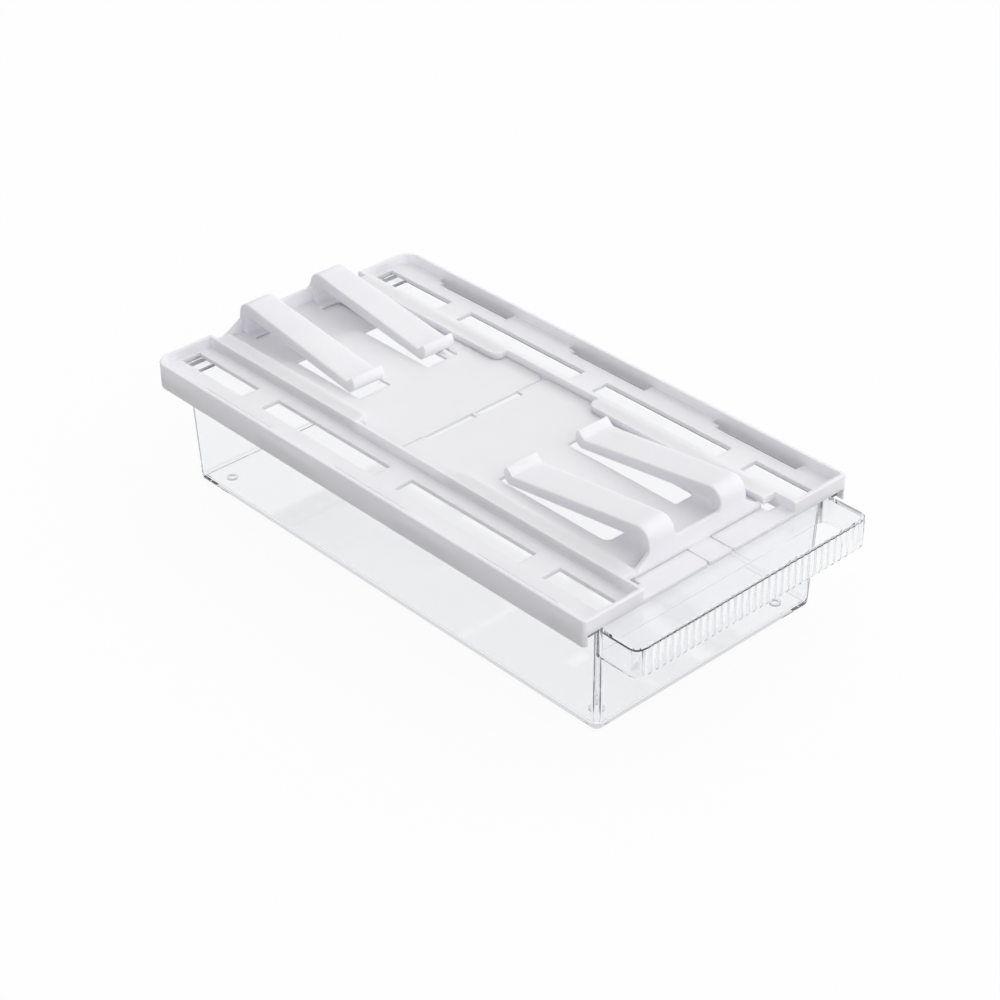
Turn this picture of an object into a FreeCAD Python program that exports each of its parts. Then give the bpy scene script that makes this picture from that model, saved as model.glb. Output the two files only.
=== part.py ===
import FreeCAD, Part
import math
import os

# Fridge drawer organizer: a rail frame, two sliding clip plates and a clear drawer.
# Working axes while modelling, in millimetres: X across, Y from the frame's front face
# to its back, Z = 0 at the rim of the frame. place() moves every piece at the end so that
# the origin is at the bottom centre of the whole object.

# Rail frame
frame_length = 310.0
frame_width = 172.0
skirt_height = 13.6
skirt_wall = 2.1
rear_corner = 9.0
front_corner = 2.0
rim_round = 0.7
deck_drop = 5.6
deck_thickness = 2.2

# Ridges and keepers that hold the clip plates
ridge_spacing = 99.0
ridge_wall = 1.7
ridge_rise = 0.3
keeper_width = 7.5
keeper_wall = 1.8
keeper_corner = 4.5
front_keeper_start = 12.5
front_keeper_length = 115.5
front_keeper_relief = 3.0
rear_keeper_start = 6.0
rear_keeper_length = 110.5

# Openings in the deck
window_width = 11.3
window_bar = 15.0
front_window_start = 4.0
front_window_length = 39.0
rear_window_start = 3.0
rear_window_length = 49.0
middle_land = 6.5
front_ledge = 22.0
rear_ledge = 43.0

# Tabs that carry the drawer rim, each under a slot of the deck
tab_count = 3
tab_length = 52.0
tab_width = 5.8
tab_thickness = 2.6
first_tab = 50.5
last_tab = 59.5
slot_step = 4.5

# Clip plates
plate_thickness = 1.6
slide_gap = 0.3
keeper_gap = 0.3
side_gap = 0.5
seam_from_front = 165.0
seam_gap = 0.5
front_plate_start = 13.6
rear_plate_start = 0.3
plate_corner = 3.0
corner_notch = 3.5
seam_notch_left = 32.0
seam_notch_right = 30.0
seam_notch_depth = 4.0
seam_nib = 1.2

# Tongue of each plate and the notch that takes it
tongue_width = 14.4
tongue_slit = 0.9
tongue_drop = 0.1
tongue_root = 4.0
notch_chamfer = 1.2

# Wall across the outer end of each plate
end_wall_height = 7.8
end_wall_thickness = 2.8
end_wall_curve = 3.0
end_wall_overlap = 1.0

# Spring clips
clip_height = 17.5
tip_height = 5.4
arm_thickness = 6.5
arm_round = 0.8
arm_skin = 2.2
arm_side_wall = 1.8
arm_root_width = 16.4
arm_tip_width = 19.4
root_thickness = 5.6
bend_setback = 1.3
bend_outer_radius = 7.4
bend_inner_radius = 5.3
foot_radius = 3.0
tip_gap = 0.2
front_arm_reach = 90.0
rear_arm_reach = 86.5
lip_rise = 3.6
lip_depth = 5.6
left_clip_edge = -31.2
right_clip_edge = 15.6

# Holes in the plates under the clips, with a slim slot beside the right one
left_hole_margin = 0.3
left_hole_width = 20.4
right_hole_margin = 2.4
right_hole_width = 13.3
right_rib = 3.5
side_slot_width = 3.4
hole_corner = 4.0
front_hole_start = 27.2
front_hole_end = 99.3
rear_hole_start = 11.5
rear_hole_end = 96.7

# Clear drawer
drawer_wall = 2.0
drawer_floor = 2.2
drawer_taper = 2.1
drawer_corner = 3.6
drawer_depth = 61.7
drawer_gap = 0.9
floor_round = 1.8
rim_width = 8.0
rim_thickness = 2.0
rim_clearance = 1.6
drawer_front_gap = 3.2
drawer_rear_gap = 10.9
foot_diameter = 6.0
foot_bore = 3.2
foot_height = 0.8
foot_inset = 12.6

# Pull across the front of the drawer
pull_depth = 25.4
pull_height = 15.1
pull_overhang = 1.9
pull_corner = 4.5
pull_wall = 2.0
pull_rear_round = 2.4
pull_join = 0.6
reed_pitch = 4.45
reed_height = 0.6
reed_valley = 0.1

# Levels and limits that follow from the sizes above
half_width = frame_width / 2
skirt_inner = half_width - skirt_wall
deck_top = -deck_drop
deck_bottom = deck_top - deck_thickness
ridge_inner = ridge_spacing / 2
ridge_outer = ridge_inner + ridge_wall
ridge_top = ridge_rise
keeper_inner = ridge_inner - keeper_width
plate_bottom = deck_top + slide_gap
plate_top = plate_bottom + plate_thickness
keeper_bottom = plate_top + keeper_gap
plate_half = ridge_inner - side_gap
end_wall_half = keeper_inner - side_gap
slot_inner = skirt_inner - tab_width
seam_y = seam_from_front
rear_plate_end = frame_length - rear_plate_start
rear_keeper_end = frame_length - rear_keeper_start
tab_top = -skirt_height + tab_thickness
drawer_top = deck_bottom - drawer_gap
drawer_bottom = drawer_top - drawer_depth
tub_half = skirt_inner - rim_clearance - rim_width
tub_front = drawer_front_gap
tub_rear = frame_length - drawer_rear_gap
pull_half = tub_half + pull_overhang
pull_front = tub_front - pull_depth
pull_bottom = drawer_top - pull_height
base_z = drawer_bottom - foot_height
middle_y = (frame_length + pull_front - reed_height) / 2
cut_past = 1.0


def vector(x, y, z):
    return FreeCAD.Vector(x, y, z)


def block(x0, x1, y0, y1, z0, z1):
    """Box between two corners."""
    return Part.makeBox(x1 - x0, y1 - y0, z1 - z0, vector(x0, y0, z0))


def mirror_x(shape):
    return shape.mirror(vector(0, 0, 0), vector(1, 0, 0))


def both_sides(shape):
    return [shape, mirror_x(shape)]


def arc_edge(start, middle, end):
    return Part.Arc(start, middle, end).toShape()


def line_edge(start, end):
    return Part.LineSegment(start, end).toShape()


def rounded_outline(x0, x1, y0, y1, z, front_radius, rear_radius):
    """Closed outline with one radius at the front corners and another at the rear ones."""
    half_turn = 1 - math.sqrt(0.5)
    corners = [
        (x0, y0, 1, 1, front_radius),
        (x1, y0, -1, 1, front_radius),
        (x1, y1, -1, -1, rear_radius),
        (x0, y1, 1, -1, rear_radius),
    ]
    edges = []
    first = None
    last = None
    for number, (x, y, inward_x, inward_y, radius) in enumerate(corners):
        on_x_side = vector(x, y + inward_y * radius, z)
        on_y_side = vector(x + inward_x * radius, y, z)
        middle = vector(x + inward_x * radius * half_turn, y + inward_y * radius * half_turn, z)
        start, end = (on_x_side, on_y_side) if number % 2 == 0 else (on_y_side, on_x_side)
        if first is None:
            first = start
        else:
            edges.append(line_edge(last, start))
        edges.append(arc_edge(start, middle, end))
        last = end
    edges.append(line_edge(last, first))
    return Part.Wire(edges)


def slab(outline, height):
    return Part.Face(outline).extrude(vector(0, 0, height))


def edges_at_height(shape, z):
    """Edges that lie wholly in the level plane z."""
    found = []
    for edge in shape.Edges:
        bounds = edge.BoundBox
        if abs(bounds.ZMin - z) < 1e-4 and abs(bounds.ZMax - z) < 1e-4:
            found.append(edge)
    return found


def window_spans():
    """Start and end in Y of the four windows of one deck, front to back."""
    rear_end = frame_length - rear_window_start
    fixed = front_window_start + front_window_length + rear_window_start + rear_window_length
    long_length = (frame_length - fixed - 3 * window_bar) / 2
    spans = []
    start = front_window_start
    for length in (front_window_length, long_length, long_length):
        spans.append((start, start + length))
        start += length + window_bar
    spans.append((rear_end - rear_window_length, rear_end))
    return spans


def tab_centres():
    pitch = (frame_length - first_tab - last_tab) / (tab_count - 1)
    return [first_tab + number * pitch for number in range(tab_count)]


def keeper(start, end, free_at_rear):
    """Rail over the edge of a plate, cored from below, with its free corner rounded."""
    front_radius = 0.4 if free_at_rear else keeper_corner
    rear_radius = keeper_corner if free_at_rear else 0.4
    height = ridge_top - keeper_bottom
    hidden = ridge_inner + ridge_wall / 2
    solid = slab(
        rounded_outline(keeper_inner, hidden + keeper_corner, start, end, keeper_bottom,
                        front_radius, rear_radius), height)
    solid = solid.cut(block(hidden, hidden + 2 * keeper_corner, start - cut_past, end + cut_past,
                            keeper_bottom - cut_past, ridge_top + cut_past))
    core = block(keeper_inner + keeper_wall, ridge_inner, start + keeper_wall, end - keeper_wall,
                 keeper_bottom - cut_past, ridge_top - keeper_wall)
    return solid.cut(core)


def deck_slot(centre):
    """Mould slot over one tab, with the small step at its rear inner corner."""
    start = centre - tab_length / 2
    end = centre + tab_length / 2
    low = deck_bottom - cut_past
    high = deck_top + cut_past
    main = block(slot_inner, skirt_inner, start, end, low, high)
    step = block(slot_inner + tab_width / 2, skirt_inner, end - cut_past, end + slot_step, low, high)
    return main.fuse(step)


def tongue_notch(y0, y1, open_at_front):
    """Notch through a ledge that takes a plate's tongue, chamfered at its mouth."""
    half = tongue_width / 2 + tongue_slit
    low = deck_bottom - cut_past
    mouth = y0 if open_at_front else y1
    inward = 1 if open_at_front else -1
    outline = Part.makePolygon([
        vector(-half - notch_chamfer, mouth - inward * cut_past, low),
        vector(-half - notch_chamfer, mouth, low),
        vector(-half, mouth + inward * notch_chamfer, low),
        vector(-half, y1 if open_at_front else y0, low),
        vector(half, y1 if open_at_front else y0, low),
        vector(half, mouth + inward * notch_chamfer, low),
        vector(half + notch_chamfer, mouth, low),
        vector(half + notch_chamfer, mouth - inward * cut_past, low),
        vector(-half - notch_chamfer, mouth - inward * cut_past, low),
    ])
    return slab(outline, deck_thickness + 2 * cut_past)


def make_rail_frame():
    # Outer shell: a shallow tray with the deck across it.
    frame = slab(rounded_outline(-half_width, half_width, 0, frame_length, -skirt_height,
                                 front_corner, rear_corner), skirt_height)
    frame = frame.makeFillet(rim_round, edges_at_height(frame, 0))
    inner_corner = rear_corner - skirt_wall
    recess = slab(rounded_outline(-skirt_inner, skirt_inner, skirt_wall, frame_length - skirt_wall,
                                  deck_top, front_corner / 2, inner_corner), deck_drop + cut_past)
    frame = frame.cut(recess)
    channel = slab(rounded_outline(-skirt_inner, skirt_inner, -frame_length / 2,
                                   frame_length - skirt_wall, -skirt_height - cut_past,
                                   front_corner, inner_corner),
                   deck_bottom + skirt_height + cut_past)
    frame = frame.cut(channel)

    # The rims stop at the ridges, so the plates slide out over the ledges.
    rim_gap = block(-ridge_inner, ridge_inner, -cut_past, frame_length + cut_past,
                    deck_top, cut_past)
    frame = frame.cut(rim_gap)

    # Middle opening, wider under the keepers so that they can be moulded.
    opening_half = keeper_inner - 0.5 * side_gap
    middle = block(-ridge_inner + middle_land, ridge_inner - middle_land,
                   front_ledge, frame_length - rear_ledge, deck_bottom - cut_past,
                   deck_top + cut_past)
    cuts = [middle]
    front_keeper_end = front_keeper_start + front_keeper_length
    rear_keeper_front = rear_keeper_end - rear_keeper_length
    relief_start = front_keeper_start - front_keeper_relief
    for start, end in ((relief_start, front_keeper_end), (rear_keeper_front, rear_keeper_end)):
        cuts += both_sides(block(opening_half, ridge_inner, start, end,
                                 deck_bottom - cut_past, deck_top + cut_past))
    for start, end in window_spans():
        centre = (ridge_outer + slot_inner) / 2
        cuts += both_sides(block(centre - window_width / 2, centre + window_width / 2, start, end,
                                 deck_bottom - cut_past, deck_top + cut_past))
    for centre in tab_centres():
        cuts += both_sides(deck_slot(centre))
    cuts.append(tongue_notch(0, front_plate_start + tongue_root + tongue_slit, True))
    cuts.append(tongue_notch(rear_plate_end - tongue_root - tongue_slit, frame_length, False))
    frame = frame.cut(cuts)

    # Ridges, keepers and drawer tabs.
    ridge = block(ridge_inner, ridge_outer, skirt_wall / 2, frame_length - skirt_wall / 2,
                  deck_bottom, ridge_top)
    front = keeper(front_keeper_start, front_keeper_end, True)
    rear = keeper(rear_keeper_front, rear_keeper_end, False)
    additions = both_sides(ridge) + both_sides(front) + both_sides(rear)
    for centre in tab_centres():
        start = centre - tab_length / 2
        additions += both_sides(block(slot_inner, skirt_inner + skirt_wall / 2, start,
                                      start + tab_length, -skirt_height, tab_top))
    return frame.fuse(additions).removeSplitter()


def arm_slopes(reach):
    """Downward angles of an arm's top and underside, and the underside's level at the bend."""
    run = reach - bend_setback - bend_outer_radius
    top_slope = math.atan((clip_height - tip_height) / run)
    under_start = clip_height + bend_outer_radius * (1 / math.cos(top_slope) - 1) - arm_thickness
    under_slope = math.atan((under_start - tip_gap) / (run + lip_depth * 0.3))
    return top_slope, under_slope, under_start


def clip_profile(reach):
    """Side outline of a clip: s inward from the plate's outer end, t up from its top."""
    slope, under_slope, under_start = arm_slopes(reach)
    centre_s = bend_setback + bend_outer_radius
    centre_t = clip_height - bend_outer_radius

    def top_at(s):
        return centre_t + bend_outer_radius / math.cos(slope) - (s - centre_s) * math.tan(slope)

    def under_at(s):
        return under_start - (s - centre_s) * math.tan(under_slope)

    def point(s, t):
        return vector(0, s, t)

    def around(s, t, radius, angle):
        return point(s - radius * math.cos(angle), t + radius * math.sin(angle))

    # The outer face leans in from the foot and runs straight into the bend.
    lean = math.atan2(centre_s, centre_t)
    lean -= math.asin(bend_outer_radius / math.hypot(centre_s, centre_t))
    outer_end_angle = math.radians(90) + slope
    outer_low = point(0, -plate_thickness)
    outer_foot = point(0, 0)
    outer_start = around(centre_s, centre_t, bend_outer_radius, lean)
    outer_middle = around(centre_s, centre_t, bend_outer_radius, (lean + outer_end_angle) / 2)
    outer_end = around(centre_s, centre_t, bend_outer_radius, outer_end_angle)

    crease = point(reach, top_at(reach))
    lip_top = point(reach + lip_depth * 0.7, crease.z + lip_rise)
    lip_out = point(reach + lip_depth, crease.z - lip_rise * 0.4)
    lip_under = point(reach + lip_depth * 0.3, under_at(reach + lip_depth * 0.3))

    inner_s = root_thickness + bend_inner_radius
    inner_t = under_at(inner_s) - bend_inner_radius / math.cos(under_slope)
    inner_end_angle = math.radians(90) + under_slope
    inner_end = around(inner_s, inner_t, bend_inner_radius, inner_end_angle)
    inner_middle = around(inner_s, inner_t, bend_inner_radius, inner_end_angle / 2)
    inner_start = point(root_thickness, inner_t)
    foot_start = point(root_thickness, min(foot_radius, inner_t))
    foot_middle = point(root_thickness + foot_radius * (1 - math.sqrt(0.5)),
                        foot_start.z * (1 - math.sqrt(0.5)))
    foot_end = point(root_thickness + foot_radius, 0)
    foot_under = point(root_thickness + foot_radius, -plate_thickness)

    edges = [
        line_edge(outer_low, outer_foot),
        line_edge(outer_foot, outer_start),
        arc_edge(outer_start, outer_middle, outer_end),
        line_edge(outer_end, crease),
        line_edge(crease, lip_top),
        arc_edge(lip_top, lip_out, lip_under),
        line_edge(lip_under, inner_end),
        arc_edge(inner_end, inner_middle, inner_start),
    ]
    if inner_start.z - foot_start.z > 1e-3:
        edges.append(line_edge(inner_start, foot_start))
    edges.append(arc_edge(foot_start, foot_middle, foot_end))
    edges.append(line_edge(foot_end, foot_under))
    edges.append(line_edge(foot_under, outer_low))
    return Part.Wire(edges)


def clip_core(reach):
    """Pocket under the arm that leaves a skin and two side walls."""
    slope = arm_slopes(reach)[0]
    start = root_thickness + bend_inner_radius * 1.4
    end = reach - 2 * arm_skin

    def level(s, depth):
        run = s - bend_setback - bend_outer_radius
        return vector(0, s, clip_height - run * math.tan(slope) - depth)

    outline = Part.makePolygon([
        level(start, arm_skin),
        level(end, arm_skin),
        level(end - arm_skin, 2 * arm_thickness),
        level(start + arm_skin, 2 * arm_thickness),
        level(start, arm_skin),
    ])
    return Part.Face(outline).extrude(vector(arm_root_width - 2 * arm_side_wall, 0, 0))


def upper_edges(clip, reach):
    """Edges along both sides of a clip's outer bend and the top of its arm."""
    slope = arm_slopes(reach)[0]
    found = []
    for edge in clip.Edges:
        middle = edge.valueAt((edge.FirstParameter + edge.LastParameter) / 2)
        inward = middle.y - bend_setback - bend_outer_radius
        upward = middle.z - clip_height + bend_outer_radius
        on_bend = abs(math.hypot(inward, upward) - bend_outer_radius) < 1e-3
        on_arm = abs(inward * math.sin(slope) + upward * math.cos(slope) - bend_outer_radius) < 1e-3
        if (on_bend or on_arm) and edge.BoundBox.XLength < arm_root_width / 2:
            found.append(edge)
    return found


def make_clip(left_edge, reach):
    """One spring clip, its left side straight and its right side widening to the tip."""
    full = Part.Face(clip_profile(reach)).extrude(vector(arm_tip_width, 0, 0))
    tip = reach + lip_depth + cut_past
    low = -plate_thickness - cut_past
    plan = Part.makePolygon([
        vector(0, -cut_past, low),
        vector(arm_root_width, -cut_past, low),
        vector(arm_tip_width, tip, low),
        vector(0, tip, low),
        vector(0, -cut_past, low),
    ])
    clip = full.common(slab(plan, clip_height + plate_thickness + 2 * cut_past))
    clip = clip.makeFillet(arm_round, upper_edges(clip, reach))
    core = clip_core(reach)
    core.translate(vector(arm_side_wall, 0, 0))
    clip = clip.cut(core)
    clip.translate(vector(left_edge, 0, 0))
    return clip


def end_wall(reach):
    """Wall at the plate's outer end: a saddle between the clips, sloping down at both sides."""
    top = end_wall_height
    curve = end_wall_curve
    turn = 1 - math.sqrt(0.5)

    def point(x, t):
        return vector(x, 0, t)

    def saddle_curve(x, side):
        high = point(x, top + curve)
        middle = point(x + side * curve * turn, top + curve * turn)
        return high, middle, point(x + side * curve, top)

    def gusset(outer_x, side):
        run = side * end_wall_half - outer_x
        foot = point(side * end_wall_half, plate_thickness * 0.25)
        return foot, point(outer_x + run * 0.57, top * 0.38), point(outer_x, top)

    left_outer = left_clip_edge + end_wall_overlap
    right_outer = right_clip_edge + arm_root_width - end_wall_overlap
    right_foot, right_knee, right_top = gusset(right_outer, 1)
    left_foot, left_knee, left_top = gusset(left_outer, -1)
    right_high, right_turn, right_low = saddle_curve(right_clip_edge, -1)
    left_high, left_turn, left_low = saddle_curve(left_clip_edge + arm_root_width, 1)
    corners = [
        point(-end_wall_half, -plate_thickness), point(end_wall_half, -plate_thickness), right_foot,
    ]
    edges = [line_edge(start, end) for start, end in zip(corners, corners[1:])]
    edges.append(arc_edge(right_foot, right_knee, right_top))
    edges.append(line_edge(right_top, point(right_outer, top + curve)))
    edges.append(line_edge(point(right_outer, top + curve), right_high))
    edges.append(arc_edge(right_high, right_turn, right_low))
    edges.append(line_edge(right_low, left_low))
    edges.append(arc_edge(left_low, left_turn, left_high))
    edges.append(line_edge(left_high, point(left_outer, top + curve)))
    edges.append(line_edge(point(left_outer, top + curve), left_top))
    edges.append(arc_edge(left_top, left_knee, left_foot))
    edges.append(line_edge(left_foot, corners[0]))
    wall = Part.Face(Part.Wire(edges)).extrude(vector(0, end_wall_thickness, 0))
    # The outer face of the wall follows the bend of the clips.
    bend = Part.Face(clip_profile(reach)).extrude(vector(2 * end_wall_half, 0, 0))
    bend.translate(vector(-end_wall_half, 0, 0))
    return wall.common(bend)


def clip_hole(x0, x1, start, end, rounded_x):
    """Hole under a clip, with a large radius at one corner of its outer end."""
    hole = block(x0, x1, start, end, -plate_thickness - cut_past, cut_past)
    corner = []
    for edge in hole.Edges:
        bounds = edge.BoundBox
        at_corner = abs(bounds.XMin - rounded_x) < 1e-4 and abs(bounds.YMax - start) < 1e-4
        if at_corner and bounds.ZLength > plate_thickness:
            corner.append(edge)
    return hole.makeFillet(hole_corner, corner)


def make_plate(length, reach, hole_start, hole_end, tongue_length, with_seam_notch):
    """Clip plate in its own axes: Y from its outer end inward, Z = 0 at its top face."""
    low = -plate_thickness
    flat_start = end_wall_thickness + corner_notch
    outline = Part.makePolygon([
        vector(-end_wall_half, 0, low),
        vector(end_wall_half, 0, low),
        vector(end_wall_half, flat_start - corner_notch / 2, low),
        vector(plate_half, flat_start, low),
        vector(plate_half, length - plate_corner, low),
        vector(plate_half - plate_corner, length, low),
        vector(-plate_half + plate_corner, length, low),
        vector(-plate_half, length - plate_corner, low),
        vector(-plate_half, flat_start, low),
        vector(-end_wall_half, flat_start - corner_notch / 2, low),
        vector(-end_wall_half, 0, low),
    ])
    plate = slab(outline, plate_thickness)
    left_hole = left_clip_edge - left_hole_margin
    right_hole = right_clip_edge - right_hole_margin
    right_hole_edge = right_hole + right_hole_width
    right_slot = right_hole_edge + right_rib
    cuts = [
        clip_hole(left_hole, left_hole + left_hole_width, hole_start, hole_end, left_hole),
        clip_hole(right_hole, right_hole_edge, hole_start, hole_end, right_hole_edge),
        block(right_slot, right_slot + side_slot_width, hole_start + hole_corner, hole_end,
              low - cut_past, cut_past),
    ]
    if with_seam_notch:
        start = length - seam_notch_depth
        cuts.append(block(-seam_notch_left, -seam_nib / 2, start, length + cut_past,
                          low - cut_past, cut_past))
        cuts.append(block(seam_nib / 2, seam_notch_right, start, length + cut_past,
                          low - cut_past, cut_past))
    plate = plate.cut(cuts)

    tongue_top = -plate_thickness - slide_gap - tongue_drop
    tongue_bottom = -plate_thickness - slide_gap - deck_thickness
    half = tongue_width / 2
    tongue = block(-half, half, -tongue_length, tongue_root, tongue_bottom, tongue_top)
    neck = block(-half, half, 0, tongue_root, tongue_top - cut_past / 2, low + plate_thickness / 2)
    pieces = [end_wall(reach), tongue, neck,
              make_clip(left_clip_edge, reach), make_clip(right_clip_edge, reach)]
    return plate.fuse(pieces).removeSplitter()


def make_front_plate():
    plate = make_plate(seam_y - front_plate_start, front_arm_reach, front_hole_start,
                       front_hole_end, front_plate_start, True)
    plate.translate(vector(0, front_plate_start, plate_top))
    return plate


def make_rear_plate():
    # Turned end for end, so that the clips of both plates stay in the same two lines.
    plate = make_plate(rear_plate_end - seam_y - seam_gap, rear_arm_reach, rear_hole_start,
                       rear_hole_end, rear_plate_start, False)
    plate = plate.mirror(vector(0, 0, 0), vector(0, 1, 0))
    plate.translate(vector(0, rear_plate_end, plate_top))
    return plate


def tapered_solid(inset, bottom, top, round_size):
    """Tub-shaped solid that narrows downwards, with a rounded lower edge."""
    depth = drawer_top - drawer_bottom
    radius = max(drawer_corner - inset, 1.0)

    def section(z, extra):
        lean = drawer_taper * (drawer_top - z) / depth + inset + extra
        corner = max(radius - extra / 2, 0.8)
        return rounded_outline(-tub_half + lean, tub_half - lean, tub_front + lean, tub_rear - lean,
                               z, corner, corner)

    sections = []
    steps = 3
    for step in range(steps):
        angle = math.radians(90) * step / steps
        sections.append(section(bottom + round_size * (1 - math.cos(angle)),
                                round_size * (1 - math.sin(angle))))
    sections.append(section(bottom + round_size, 0))
    sections.append(section(top, 0))
    return Part.makeLoft(sections, True, True)


def reeds():
    """Strip of shallow round reeds across the front of the pull, between its corners."""
    straight = 2 * (pull_half - pull_corner)
    count = int(straight / reed_pitch)
    first = -count * reed_pitch / 2
    valley_y = pull_front - reed_valley
    crest_y = pull_front - reed_height
    back_y = pull_front + pull_wall / 2
    edges = []
    for number in range(count):
        start = first + number * reed_pitch
        edges.append(arc_edge(vector(start, valley_y, pull_bottom),
                              vector(start + reed_pitch / 2, crest_y, pull_bottom),
                              vector(start + reed_pitch, valley_y, pull_bottom)))
    corners = [
        vector(-first, valley_y, pull_bottom),
        vector(-first, back_y, pull_bottom),
        vector(first, back_y, pull_bottom),
        vector(first, valley_y, pull_bottom),
    ]
    edges += [line_edge(start, end) for start, end in zip(corners, corners[1:])]
    return slab(Part.Wire(edges), pull_height)


def make_drawer():
    tub = tapered_solid(0, drawer_bottom, drawer_top, floor_round)
    rim = slab(rounded_outline(-tub_half - rim_width, tub_half + rim_width,
                               tub_front - drawer_front_gap / 2, tub_rear + rim_width,
                               drawer_top - rim_thickness, 1.0, rear_corner - skirt_wall),
               rim_thickness)
    pull = slab(rounded_outline(-pull_half, pull_half, pull_front, tub_front + pull_join,
                                pull_bottom, pull_corner, pull_rear_round), pull_height)
    finger_space = slab(rounded_outline(-pull_half + pull_wall, pull_half - pull_wall,
                                        pull_front + pull_wall, tub_front,
                                        pull_bottom - cut_past, pull_corner - pull_wall,
                                        pull_corner),
                        pull_height - rim_thickness + cut_past)
    pull = pull.fuse(reeds()).cut(finger_space)
    hollow = tapered_solid(drawer_wall, drawer_bottom + drawer_floor, drawer_top + cut_past,
                           floor_round)
    drawer = tub.fuse([rim, pull]).cut(hollow)
    lean = drawer_taper + foot_inset
    feet = []
    for x in (-tub_half + lean, tub_half - lean):
        for y in (tub_front + lean, tub_rear - lean):
            place_at = vector(x, y, base_z)
            foot = Part.makeCylinder(foot_diameter / 2, foot_height + drawer_floor / 2, place_at)
            bore = Part.makeCylinder(foot_bore / 2, foot_height, place_at)
            feet.append(foot.cut(bore))
    return drawer.fuse(feet).removeSplitter()


def place(shape):
    """Move a piece so that the origin is the bottom centre of the whole object."""
    moved = shape.copy()
    moved.translate(vector(0, -middle_y, -base_z))
    return moved


def main():
    os.makedirs("parts", exist_ok=True)
    pieces = {
        "rail_frame": make_rail_frame(),
        "front_clip_plate": make_front_plate(),
        "rear_clip_plate": make_rear_plate(),
        "drawer": make_drawer(),
    }
    for name, shape in pieces.items():
        placed = place(shape)
        if len(placed.Solids) != 1:
            raise ValueError(name + " is not one solid")
        placed.Solids[0].exportStep("parts/" + name + ".step")
        bounds = placed.BoundBox
        print(name, "volume", round(placed.Volume), "valid", placed.isValid(),
              "x", round(bounds.XMin, 2), round(bounds.XMax, 2),
              "y", round(bounds.YMin, 2), round(bounds.YMax, 2),
              "z", round(bounds.ZMin, 2), round(bounds.ZMax, 2))


main()
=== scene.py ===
import math

import bpy
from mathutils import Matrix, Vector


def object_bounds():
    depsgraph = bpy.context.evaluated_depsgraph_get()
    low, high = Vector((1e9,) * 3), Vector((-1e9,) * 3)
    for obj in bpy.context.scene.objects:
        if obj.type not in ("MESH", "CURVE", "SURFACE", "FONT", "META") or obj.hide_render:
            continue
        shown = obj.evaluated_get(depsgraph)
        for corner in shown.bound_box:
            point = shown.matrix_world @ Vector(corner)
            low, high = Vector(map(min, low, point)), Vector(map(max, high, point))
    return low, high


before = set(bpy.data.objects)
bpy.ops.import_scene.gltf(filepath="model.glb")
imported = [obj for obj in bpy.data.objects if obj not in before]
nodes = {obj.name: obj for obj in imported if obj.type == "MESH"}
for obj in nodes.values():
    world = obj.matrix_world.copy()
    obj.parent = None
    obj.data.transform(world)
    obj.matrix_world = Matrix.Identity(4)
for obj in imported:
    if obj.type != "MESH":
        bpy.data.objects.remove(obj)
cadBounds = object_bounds()
scene = bpy.context.scene
mmPerMetre = 1000
pureWhite = (1, 1, 1, 1)
print("stage: frame loaded")


def hexToLinear(text):
    # The standard sRGB curve, channel by channel.
    channels = [int(text[i:i + 2], 16) / 255 for i in (1, 3, 5)]
    linear = [c / 12.92 if c <= 0.04045 else ((c + 0.055) / 1.055) ** 2.4 for c in channels]
    return (*linear, 1.0)


def addNode(tree, kind, settings=None, links=None):
    # A setting goes to the node's own property of that name, or else to its socket.
    node = tree.nodes.new(kind)
    for name, value in (settings or {}).items():
        if isinstance(name, str) and hasattr(node, name):
            setattr(node, name, value)
        else:
            node.inputs[name].default_value = value
    for name, source in (links or {}).items():
        tree.links.new(source, node.inputs[name])
    return node


def newMaterial(name):
    material = bpy.data.materials.new(name)
    material.use_nodes = True
    material.node_tree.nodes.clear()
    return material, material.node_tree


# White ABS, injection moulded in a spark-eroded tool: a satin skin, IOR 1.54.
# The eroded grain is about 0.35 mm across, and flow and shrinkage leave waves some 20 mm long.
# Light spreads a few millimetres inside the white resin, so thin walls glow a little in shade.
mouldedWhite = {
    "base": "#F4F3F9",
    "shade": "#F1F0F6",
    "ior": 1.54,
    "roughness": (0.42, 0.52),
    "scatter": 0.8,
    "scatterMm": 4.0,
    "scatterSpread": (1.0, 1.0, 1.0),  # red, green and blue alike
    "grainMm": 0.35,
    "grainHeightMm": 0.006,
    "grainDetail": 3.0,
    "grainCoarseness": 0.55,
    "grainStrength": 0.25,
    "waveMm": 20.0,
    "waveDetail": 2.0,
    "waveCoarseness": 0.5,
    "edgeMm": 0.3,
}


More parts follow.
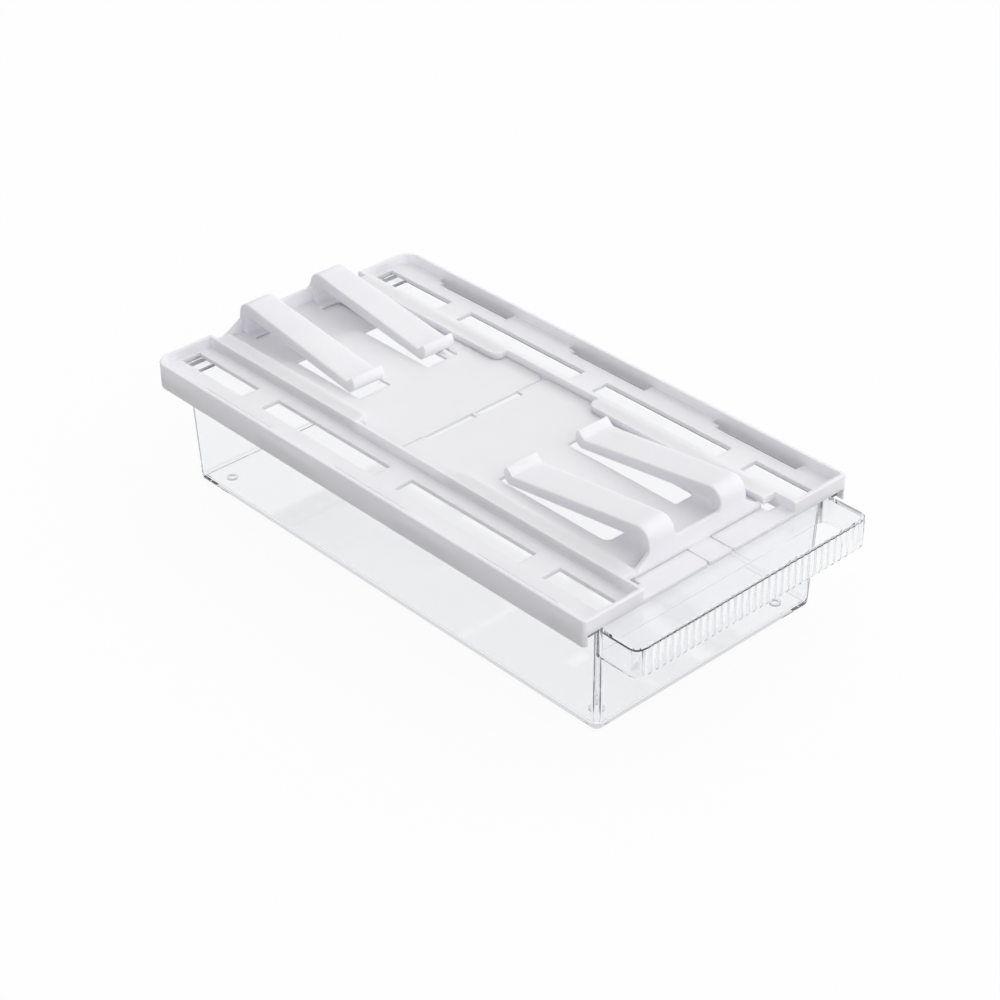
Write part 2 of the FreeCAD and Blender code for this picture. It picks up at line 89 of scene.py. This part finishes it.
def makeMouldedWhite(name, spec):
    material, tree = newMaterial(name)
    place = addNode(tree, "ShaderNodeTexCoord")
    # One unit of the noise holds about two grains.
    grain = addNode(tree, "ShaderNodeTexNoise",
                    {"Scale": mmPerMetre / (2 * spec["grainMm"]),
                     "Detail": spec["grainDetail"], "Roughness": spec["grainCoarseness"]},
                    {"Vector": place.outputs["Object"]})
    wave = addNode(tree, "ShaderNodeTexNoise",
                   {"Scale": mmPerMetre / spec["waveMm"],
                    "Detail": spec["waveDetail"], "Roughness": spec["waveCoarseness"]},
                   {"Vector": place.outputs["Object"]})
    colour = addNode(tree, "ShaderNodeMix",
                     {"data_type": "RGBA", "A": hexToLinear(spec["base"]),
                      "B": hexToLinear(spec["shade"])},
                     {"Factor": wave.outputs["Fac"]})
    rough = addNode(tree, "ShaderNodeMapRange",
                    {"To Min": spec["roughness"][0], "To Max": spec["roughness"][1]},
                    {"Value": grain.outputs["Fac"]})
    bump = addNode(tree, "ShaderNodeBump",
                   {"Strength": spec["grainStrength"],
                    "Distance": spec["grainHeightMm"] / mmPerMetre},
                   {"Height": grain.outputs["Fac"]})
    shader = addNode(tree, "ShaderNodeBsdfPrincipled",
                     {"IOR": spec["ior"], "Subsurface Weight": spec["scatter"],
                      "Subsurface Scale": spec["scatterMm"] / mmPerMetre,
                      "Subsurface Radius": spec["scatterSpread"]},
                     {"Base Color": colour.outputs["Result"],
                      "Roughness": rough.outputs["Result"],
                      "Normal": bump.outputs["Normal"]})
    addNode(tree, "ShaderNodeOutputMaterial", None, {"Surface": shader.outputs["BSDF"]})
    return material


# Clear general-purpose polystyrene, moulded in a polished tool: IOR 1.59, a trace of blue toner.
# Shrinkage leaves a slow ripple in the gloss, some 45 mm long.
# Light that has been reflected four times inside a wall leaves it through a grey tint, a painted
# shade that draws the edge lines.
# That painted shade is darkest along the rim and the pull, and paler low down, where the floor is
# thick.
# The ring feet are painted darker, a painted shade in place of the dark they show through the
# clear floor.
clearStyrene = {
    "tint": "#F9FAFB",
    "shadowTint": "#FAFBFC",
    "ior": 1.59,
    "roughness": (0.0, 0.03),
    "rippleMm": 45.0,
    "rippleHeightMm": 0.02,
    "rippleDetail": 1.0,
    "rippleCoarseness": 0.4,
    "rippleStrength": 0.3,
    "freeReflections": 3,
    # Painted shade for the clear walls' edge lines: dark high up, pale low down.
    "paintedEdgeShade": "#A6A8AE",
    "paintedLowEdgeShade": "#DCDDE1",
    "paleShadeBelowMm": 6.0,  # below this height the paler painted shade holds
    # Painted shade on the ring feet.
    "paintedFootShade": "#5E6066",
    "footMm": 0.7,  # just under the feet's own height
    "edgeMm": 0.2,
}


def makeClearStyrene(name, spec):
    material, tree = newMaterial(name)
    place = addNode(tree, "ShaderNodeTexCoord")
    ripple = addNode(tree, "ShaderNodeTexNoise",
                     {"Scale": mmPerMetre / spec["rippleMm"],
                      "Detail": spec["rippleDetail"], "Roughness": spec["rippleCoarseness"]},
                     {"Vector": place.outputs["Object"]})
    rough = addNode(tree, "ShaderNodeMapRange",
                    {"To Min": spec["roughness"][0], "To Max": spec["roughness"][1]},
                    {"Value": ripple.outputs["Fac"]})
    bump = addNode(tree, "ShaderNodeBump",
                   {"Strength": spec["rippleStrength"],
                    "Distance": spec["rippleHeightMm"] / mmPerMetre},
                   {"Height": ripple.outputs["Fac"]})
    height = addNode(tree, "ShaderNodeSeparateXYZ", None, {"Vector": place.outputs["Object"]})
    # The ring feet get the darker painted shade.
    isFoot = addNode(tree, "ShaderNodeMath",
                     {"operation": "LESS_THAN", 1: spec["footMm"] / mmPerMetre},
                     {0: height.outputs["Z"]})
    colour = addNode(tree, "ShaderNodeMix",
                     {"data_type": "RGBA", "A": hexToLinear(spec["tint"]),
                      "B": hexToLinear(spec["paintedFootShade"])},
                     {"Factor": isFoot.outputs[0]})
    shader = addNode(tree, "ShaderNodeBsdfPrincipled",
                     {"IOR": spec["ior"], "Transmission Weight": 1.0},
                     {"Base Color": colour.outputs["Result"],
                      "Roughness": rough.outputs["Result"], "Normal": bump.outputs["Normal"]})
    path = addNode(tree, "ShaderNodeLightPath")
    caught = addNode(tree, "ShaderNodeMath",
                     {"operation": "GREATER_THAN", 1: spec["freeReflections"]},
                     {0: path.outputs["Glossy Depth"]})
    # Below the set height the painted edge shade is paler.
    isLow = addNode(tree, "ShaderNodeMath",
                    {"operation": "LESS_THAN", 1: spec["paleShadeBelowMm"] / mmPerMetre},
                    {0: height.outputs["Z"]})
    paintedEdgeColour = addNode(tree, "ShaderNodeMix",
                   {"data_type": "RGBA", "A": hexToLinear(spec["paintedEdgeShade"]),
                    "B": hexToLinear(spec["paintedLowEdgeShade"])},
                   {"Factor": isLow.outputs[0]})
    escape = addNode(tree, "ShaderNodeBsdfTransparent", None, {"Color": paintedEdgeColour.outputs["Result"]})
    wall = addNode(tree, "ShaderNodeMixShader", None,
                   {0: caught.outputs[0], 1: shader.outputs["BSDF"], 2: escape.outputs["BSDF"]})
    # Lamps shine through the thin clear walls.
    through = addNode(tree, "ShaderNodeBsdfTransparent",
                      {"Color": hexToLinear(spec["shadowTint"])})
    mixed = addNode(tree, "ShaderNodeMixShader", None,
                    {0: path.outputs["Is Shadow Ray"], 1: wall.outputs["Shader"],
                     2: through.outputs["BSDF"]})
    addNode(tree, "ShaderNodeOutputMaterial", None, {"Surface": mixed.outputs["Shader"]})
    return material


def dress(node, material):
    piece = nodes[node]
    piece.data.materials.clear()
    piece.data.materials.append(material)
    return piece


# Moulded edges are never quite sharp, so each gets a tiny round.
softEdges = {
    "weldMm": 0.01,
    "segments": 2,
    "sharperThan": 32,  # degrees
}


def soften(piece, widthMm, spec):
    weld = piece.modifiers.new("weld", "WELD")
    weld.merge_threshold = spec["weldMm"] / mmPerMetre
    bevel = piece.modifiers.new("softEdges", "BEVEL")
    bevel.width = widthMm / mmPerMetre
    bevel.segments = spec["segments"]
    bevel.limit_method = "ANGLE"
    bevel.angle_limit = math.radians(spec["sharperThan"])


white = makeMouldedWhite("mouldedWhiteAbs", mouldedWhite)
clear = makeClearStyrene("clearPolystyrene", clearStyrene)

soften(dress("rail_frame", white), mouldedWhite["edgeMm"], softEdges)
for plate in ("front_clip_plate", "rear_clip_plate"):
    soften(dress(plate, white), mouldedWhite["edgeMm"], softEdges)
soften(dress("drawer", clear), clearStyrene["edgeMm"], softEdges)
print("stage: materials")

# The floor is white to the camera and in gloss and glass, and keeps the soft shadow.
# The backdrop is white to the camera; glass sees the room there, and gloss sees the dome.
studio = {
    "floorSize": 6.0,  # metres
    "floor": "#F0F0F1",
    "floorBounce": "#D8D8DA",  # what the floor gives back to the object
    "lift": 0.94,  # share of pure white in the floor, where it is seen
    "domeWay": (0.77, -0.42, 0.48),  # towards the bright side
    "domeLevels": (0.02, 1.37),  # the dark side and the bright side
    "roomWay": (-0.62, -0.67, 0.40),  # towards the unlit end of the room
    "roomEdges": (0.1, 0.7),  # where its shade starts and where it is full
    "roomShade": 0.05,
}


def makeFloor(spec):
    mesh = bpy.data.meshes.new("studioFloor")
    half = spec["floorSize"] / 2
    mesh.from_pydata([(-half, -half, 0), (half, -half, 0), (half, half, 0), (-half, half, 0)], [],
                     [(0, 1, 2, 3)])
    floor = bpy.data.objects.new("studioFloor", mesh)
    scene.collection.objects.link(floor)
    material, tree = newMaterial("paleFloor")
    path = addNode(tree, "ShaderNodeLightPath")
    direct = addNode(tree, "ShaderNodeMath", {"operation": "MAXIMUM"},
                     {0: path.outputs["Is Camera Ray"], 1: path.outputs["Is Glossy Ray"]})
    seen = addNode(tree, "ShaderNodeMath", {"operation": "MAXIMUM"},
                   {0: direct.outputs[0], 1: path.outputs["Is Transmission Ray"]})
    shade = addNode(tree, "ShaderNodeMix",
                    {"data_type": "RGBA", "A": hexToLinear(spec["floorBounce"]),
                     "B": hexToLinear(spec["floor"])},
                    {"Factor": seen.outputs[0]})
    diffuse = addNode(tree, "ShaderNodeBsdfDiffuse", None, {"Color": shade.outputs["Result"]})
    glow = addNode(tree, "ShaderNodeEmission", {"Color": pureWhite, "Strength": 1.0})
    share = addNode(tree, "ShaderNodeMath", {"operation": "MULTIPLY", 1: spec["lift"]},
                    {0: seen.outputs[0]})
    mixed = addNode(tree, "ShaderNodeMixShader", None,
                    {0: share.outputs[0], 1: diffuse.outputs["BSDF"], 2: glow.outputs["Emission"]})
    addNode(tree, "ShaderNodeOutputMaterial", None, {"Surface": mixed.outputs["Shader"]})
    mesh.materials.append(material)


def makeWorld(spec):
    world = bpy.data.worlds.new("studioWorld")
    scene.world = world
    world.use_nodes = True
    tree = world.node_tree
    tree.nodes.clear()
    # The soft dome is brightest on the right, a little to the front and above.
    way = addNode(tree, "ShaderNodeTexCoord")
    toDome = addNode(tree, "ShaderNodeVectorMath",
                     {"operation": "DOT_PRODUCT", 1: spec["domeWay"]},
                     {0: way.outputs["Generated"]})
    dome = addNode(tree, "ShaderNodeMapRange",
                   {"From Min": -1.0, "From Max": 1.0, "To Min": spec["domeLevels"][0],
                    "To Max": spec["domeLevels"][1]},
                   {"Value": toDome.outputs["Value"]})
    ambient = addNode(tree, "ShaderNodeBackground", {"Color": pureWhite},
                      {"Strength": dome.outputs["Result"]})
    # Clear walls catch the unlit end of the room, on the front left.
    toRoom = addNode(tree, "ShaderNodeVectorMath",
                     {"operation": "DOT_PRODUCT", 1: spec["roomWay"]},
                     {0: way.outputs["Generated"]})
    room = addNode(tree, "ShaderNodeMapRange",
                   {"From Min": spec["roomEdges"][0], "From Max": spec["roomEdges"][1],
                    "To Min": 1.0, "To Max": spec["roomShade"]},
                   {"Value": toRoom.outputs["Value"]})
    path = addNode(tree, "ShaderNodeLightPath")
    level = addNode(tree, "ShaderNodeMath", {"operation": "MAXIMUM"},
                    {0: room.outputs["Result"], 1: path.outputs["Is Camera Ray"]})
    backdrop = addNode(tree, "ShaderNodeBackground", {"Color": pureWhite},
                       {"Strength": level.outputs[0]})
    seen = addNode(tree, "ShaderNodeMath", {"operation": "MAXIMUM"},
                   {0: path.outputs["Is Camera Ray"], 1: path.outputs["Is Transmission Ray"]})
    mixed = addNode(tree, "ShaderNodeMixShader", None,
                    {0: seen.outputs[0], 1: ambient.outputs["Background"],
                     2: backdrop.outputs["Background"]})
    addNode(tree, "ShaderNodeOutputWorld", None, {"Surface": mixed.outputs["Shader"]})


# One weak softbox, low on the front right, gives the bends and the pull their soft highlights.
keyLight = {
    "place": (0.6, -1.6, 0.9),  # metres
    "size": 1.2,
    "watts": 1.5,
}


def addSoftbox(name, spec, target):
    data = bpy.data.lights.new(name, "AREA")
    data.shape = "SQUARE"
    data.size = spec["size"]
    data.energy = spec["watts"]
    lamp = bpy.data.objects.new(name, data)
    scene.collection.objects.link(lamp)
    lamp.location = spec["place"]
    away = lamp.location - target  # a lamp shines along its own -Z
    lamp.rotation_euler = away.to_track_quat("Z", "Y").to_euler()


# The camera stands on the front left, above; metres and degrees in this frame.
cameraSpec = {
    "place": (-0.70105, -0.75788, 0.70542),
    "turn": (56.68488, 0.38334, -42.93339),
    "lens": 90.4295,  # millimetres, like the sensor
    "sensor": 36,
    "clipStart": 0.01,
}


def makeCamera(spec):
    data = bpy.data.cameras.new("studioCamera")
    data.sensor_width = spec["sensor"]
    data.lens = spec["lens"]
    data.clip_start = spec["clipStart"]
    camera = bpy.data.objects.new("studioCamera", data)
    scene.collection.objects.link(camera)
    camera.location = spec["place"]
    camera.rotation_euler = [math.radians(angle) for angle in spec["turn"]]
    scene.camera = camera


makeFloor(studio)
makeWorld(studio)
middle = (cadBounds[0] + cadBounds[1]) / 2
addSoftbox("keyLight", keyLight, middle)
makeCamera(cameraSpec)
scene.view_settings.view_transform = "Standard"
print("stage: studio and camera")
